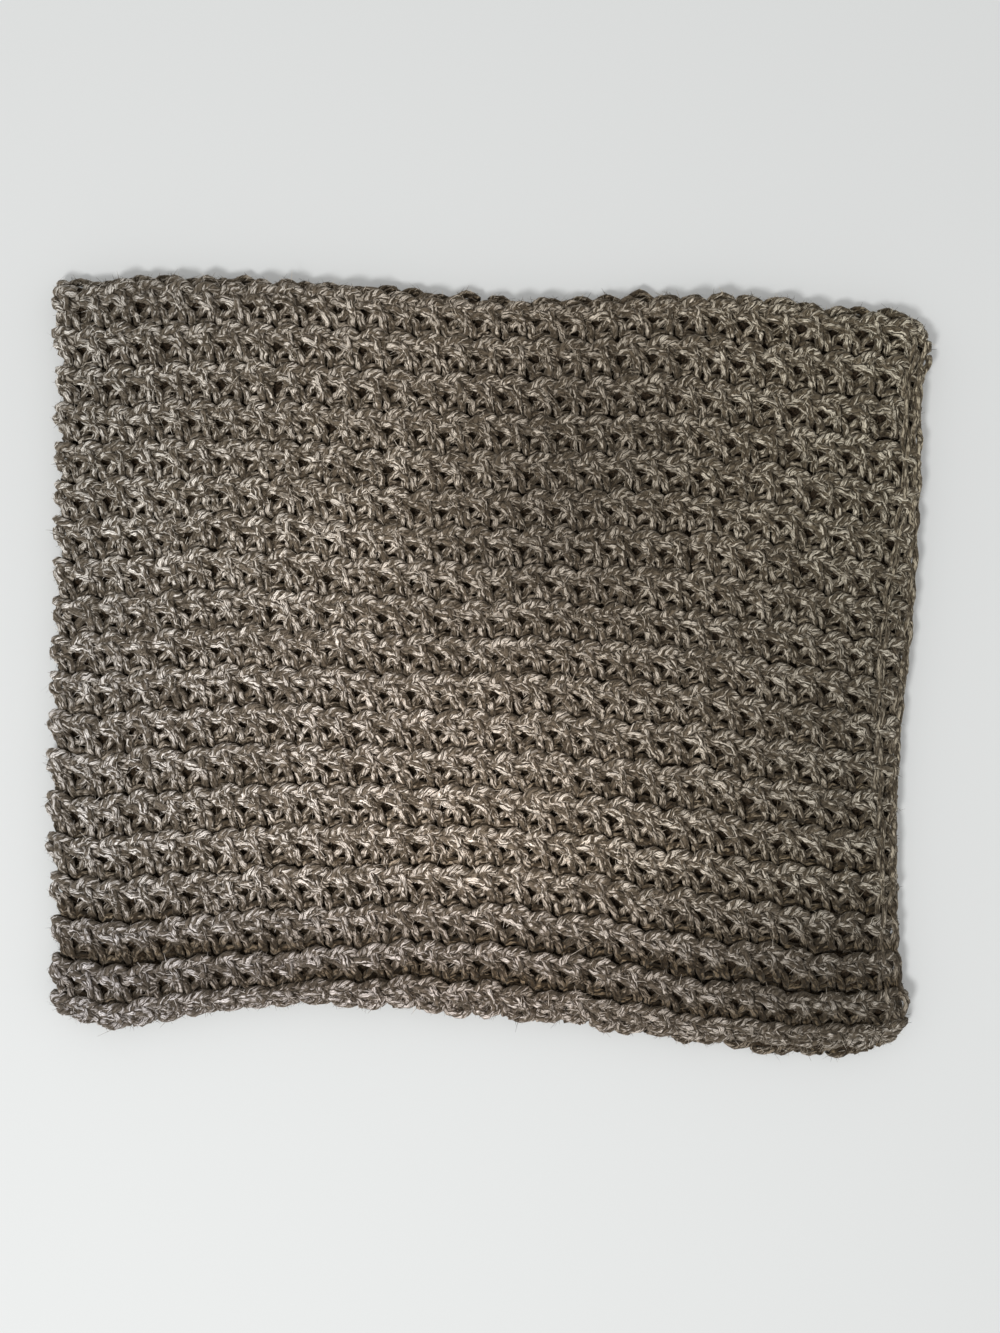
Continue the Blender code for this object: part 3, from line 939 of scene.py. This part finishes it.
# %% [markdown]
# ## The join
# Each round was closed by a slip stitch near the right fold. Two closing strands climb from
# round to round in a plainer line, and two more run up the fold and draw its edge straight.

# %% The join
STITCH_WIDTH = 9.3  # at mid-height


def column_at(x_in_from_right, down):
    """The stitch number at a distance in from the right fold, at the outside of the yarn."""
    right = smooth_curve(SIDE_TABLE["rounds"], SIDE_TABLE["right"], down) + right_bulge(down)
    turn = np.arcsin(np.clip(1 - x_in_from_right / FOLD_INSET, 0, 1))
    reach = right - FOLD_INSET + FOLD_RADIUS * turn - np.maximum(x_in_from_right - FOLD_INSET, 0)
    row = np.clip(((down - FIRST_DOWN) / DOWN_STEP).astype(int), 0, SURFACE.shape[1] - 1)
    last = LAST_COLUMN[row]
    tip = right - FOLD_INSET + QUARTER
    return last - (tip - reach) / STITCH_WIDTH


JOIN_COLUMNS = ("share", "offset", "phase", "out", "waver", "radius", "first", "last")
JOIN_STRANDS = (  # share of the seam's distance in from the fold, then millimetres
    (1.0, 0.0, 0.0, 1.9, 1.3, 0.85, 0.35, 18.7), (1.0, 1.3, 2.4, 1.9, 1.3, 0.85, 0.35, 18.7),
    (0.0, 0.5, 1.0, 2.3, 0.5, 1.15, 0.7, 17.6), (0.0, 1.9, 4.0, 2.0, 0.9, 1.00, 0.4, 17.9),
)
JOIN_SEED, JOIN_SIDES, JOIN_THREADS, JOIN_LEAD = 51, 7, 3, 24.0
JOIN_STEP = 0.09  # rounds from point to point
JOIN_SWAY, JOIN_DRIFT, DRIFT_RATE = 0.5, 0.4, 3.7  # aside in millimetres, with each round and slower
JOIN_STRIP = (0.98, 0.22)


def make_join(name):
    draw = np.random.default_rng(JOIN_SEED)
    parts = []
    for k, row in enumerate(JOIN_STRANDS):
        strand = dict(zip(JOIN_COLUMNS, row))
        down = np.arange(strand["first"], strand["last"], JOIN_STEP)
        seam = smooth_curve(SIDE_TABLE["rounds"], SIDE_TABLE["seam"], down) + RIGHT_BULGE
        turn = 2 * math.pi * down + strand["phase"]
        sway = JOIN_SWAY * np.sin(turn) + JOIN_DRIFT * np.sin(DRIFT_RATE * down + strand["phase"])
        stitch = column_at(seam * strand["share"] + strand["offset"] + sway, down)
        out = strand["out"] + strand["waver"] * np.sin(turn + 1.0)
        laid = place(stitch[None], down[None], out[None])
        radii = np.full((1, len(down)), strand["radius"])
        cells = (np.array([[0.0, k / len(JOIN_STRANDS)]]), np.array(JOIN_STRIP))
        parts.append(sweep(laid, radii, JOIN_SIDES, draw, JOIN_LEAD, JOIN_THREADS, cells))
    return make_piece(name, parts, seam_yarn)


join = make_join("join_line")
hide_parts("join_seam")

# %% [markdown]
# ## Loose fibres
# Handspun-looking yarn sheds short hairs. They leave the surface at a flat angle and catch
# the light, and they soften every edge of the scarf.

# %% Loose fibres
HAIR_SOURCES = {
    "upper": 44, "lower": 40, "middle": 20, "post": 26, "thin_post": 26, "riser": 24,
    "chain": 36, "chain_under": 24, "top_loop": 36,
}
HAIR_WIDTH, HAIR_TIP = 0.17, 0.3
HAIR_SEED = 61
HAIR_ROOT = 0.95  # of the strand's radius, so that a hair starts inside it
HAIR_LEAN = 0.8
# Length and lift are drawn by a gamma law: its shape, its scale and the least value.
HAIR_LENGTH, HAIR_LIFT = (2.4, 0.5, 0.7), (1.6, 0.22, 0.10)


def drawn(draw, law, count):
    shape, scale, least = law
    return draw.gamma(shape, scale, count)[:, None] + least


def grow_hairs(found, draw, each):
    """Short hairs that leave the given strands, and how far each root stands out."""
    grown, facing, depth = [], [], []
    for name, laid, radii in found:
        paths = laid.points
        count = len(paths) * each.get(name, 0)
        if not count:
            continue
        ahead, ups, rights = side_directions(paths)
        s = draw.integers(0, len(paths), count)
        k = draw.integers(1, paths.shape[1] - 1, count)
        a = draw.random(count) * 2 * math.pi
        out = ups[s, k] * np.cos(a)[:, None] + rights[s, k] * np.sin(a)[:, None]
        out[:, 2] = np.abs(out[:, 2])
        root = paths[s, k] + out * radii[s, k][:, None] * HAIR_ROOT
        aside = np.cross(ahead[s, k], out)
        lean = draw.normal(0, HAIR_LEAN, count)
        way = ahead[s, k] * np.cos(lean)[:, None] + aside * np.sin(lean)[:, None]
        way *= draw.choice((-1, 1), count)[:, None]
        length = drawn(draw, HAIR_LENGTH, count)
        lift = drawn(draw, HAIR_LIFT, count)
        tip = root + way * length + out * lift
        grown.append(np.stack([root, tip], axis=1))
        facing.append(out)
        depth.append(laid.outs[s, k] + radii[s, k] * out[:, 2])
    return np.concatenate(grown), np.concatenate(facing), np.concatenate(depth)


def ribbons(paths, facing, height, widths, draw, cells):
    """Narrow flat strips along many paths, turned to face along `facing`."""
    count, length, _ = paths.shape
    ahead = unit(np.gradient(paths, axis=1))
    aside = unit(np.cross(ahead, facing[:, None])) * widths[:, :, None] / 2
    points = np.stack([paths - aside, paths + aside], axis=2)
    index = np.arange(count * length * 2).reshape(count, length, 2)
    faces = [index[:, :-1, 0], index[:, :-1, 1], index[:, 1:, 1], index[:, 1:, 0]]
    t = np.broadcast_to(np.arange(length) / (length - 1), (count, length))
    corners = np.stack([t[:, :-1], t[:, :-1], t[:, 1:], t[:, 1:]], axis=-1)
    sides = np.broadcast_to(np.array((0.0, 1.0, 1.0, 0.0)), corners.shape)
    strip = np.stack([corners, sides], axis=-1)
    low, size = cells
    return {
        "points": points.reshape(-1, 3),
        "faces": np.stack(faces, axis=-1).reshape(-1, 4),
        "yarn": strip.reshape(-1, 2),
        "strip": (low[:, None, None] + strip * size).reshape(-1, 2),
        "number": np.repeat(draw.random(count), length * 2),
        "height": np.repeat(height, length * 2),
    }


def make_hairs(name, found, seed):
    draw = np.random.default_rng(seed)
    paths, facing, height = grow_hairs(found, draw, HAIR_SOURCES)
    widths = HAIR_WIDTH * np.array((1.0, HAIR_TIP)) * np.ones((len(paths), 1))
    cells = strips(len(paths), 1, 0)
    piece = make_piece(name, [ribbons(paths, facing, height, widths, draw, cells)], hair_finish)
    return piece


hairs = [
    make_hairs(f"loose_fibres_{name}", found, seed)
    for seed, (name, found) in enumerate(sources.items(), HAIR_SEED)
]

# %% [markdown]
# ## Ground, light and camera
# The scarf lies on a plain pale ground and is seen from straight above. One soft lamp stands
# low on the left, so that the ridges throw a short shadow up and to the right, and the sky
# fills the rest.

# %% The ground
GROUND_SIZE, GROUND_BELOW = 3.0, 0.0004
# The ground glows faintly: painted light that lightens the shadows on it.
GROUND_COLOUR, GROUND_ROUGHNESS, GROUND_PAINTED_GLOW = (0.615, 0.627, 0.623), 0.6, 0.10
bpy.ops.mesh.primitive_plane_add(size=GROUND_SIZE, location=(0, 0, -GROUND_BELOW))
ground = bpy.context.object
ground.name = "ground"
ground_finish = plain_finish("pale_ground", GROUND_COLOUR, GROUND_ROUGHNESS, GROUND_PAINTED_GLOW)
ground.data.materials.append(ground_finish)

# %% Light
scene = bpy.context.scene
scene.view_settings.view_transform = "Standard"
LAMP_AT = Vector((-0.42, -0.55, 1.30))
lamp_data = bpy.data.lights.new("soft_lamp", "AREA")
lamp_data.shape = "DISK"
lamp_data.size = 0.30
lamp_data.energy = 11.5
lamp = bpy.data.objects.new("soft_lamp", lamp_data)
scene.collection.objects.link(lamp)
lamp.location = LAMP_AT
lamp.rotation_euler = (-LAMP_AT).to_track_quat("-Z", "Y").to_euler()

sky = bpy.data.worlds.new("sky")
scene.world = sky
sky.use_nodes = True
sky.node_tree.nodes["Background"].inputs["Color"].default_value = (1.0, 1.0, 1.0, 1)
sky.node_tree.nodes["Background"].inputs["Strength"].default_value = 0.60

# %% Camera
IMAGE_HEIGHT, IMAGE_CENTRE_X, CAMERA_DISTANCE, SENSOR = 0.4466, 2.3 * MM, 0.70, 36.0
LEVEL_IN_VIEW = 0.011  # height at which the picture is IMAGE_HEIGHT tall
camera_data = bpy.data.cameras.new("camera")
camera_data.sensor_width = SENSOR
camera_data.lens = SENSOR * CAMERA_DISTANCE / IMAGE_HEIGHT
camera = bpy.data.objects.new("camera", camera_data)
scene.collection.objects.link(camera)
camera_x, camera_y = IMAGE_CENTRE_X - MIDDLE[0] * MM, -MIDDLE[1] * MM
camera.location = (camera_x, camera_y, CAMERA_DISTANCE + LEVEL_IN_VIEW)
scene.camera = camera
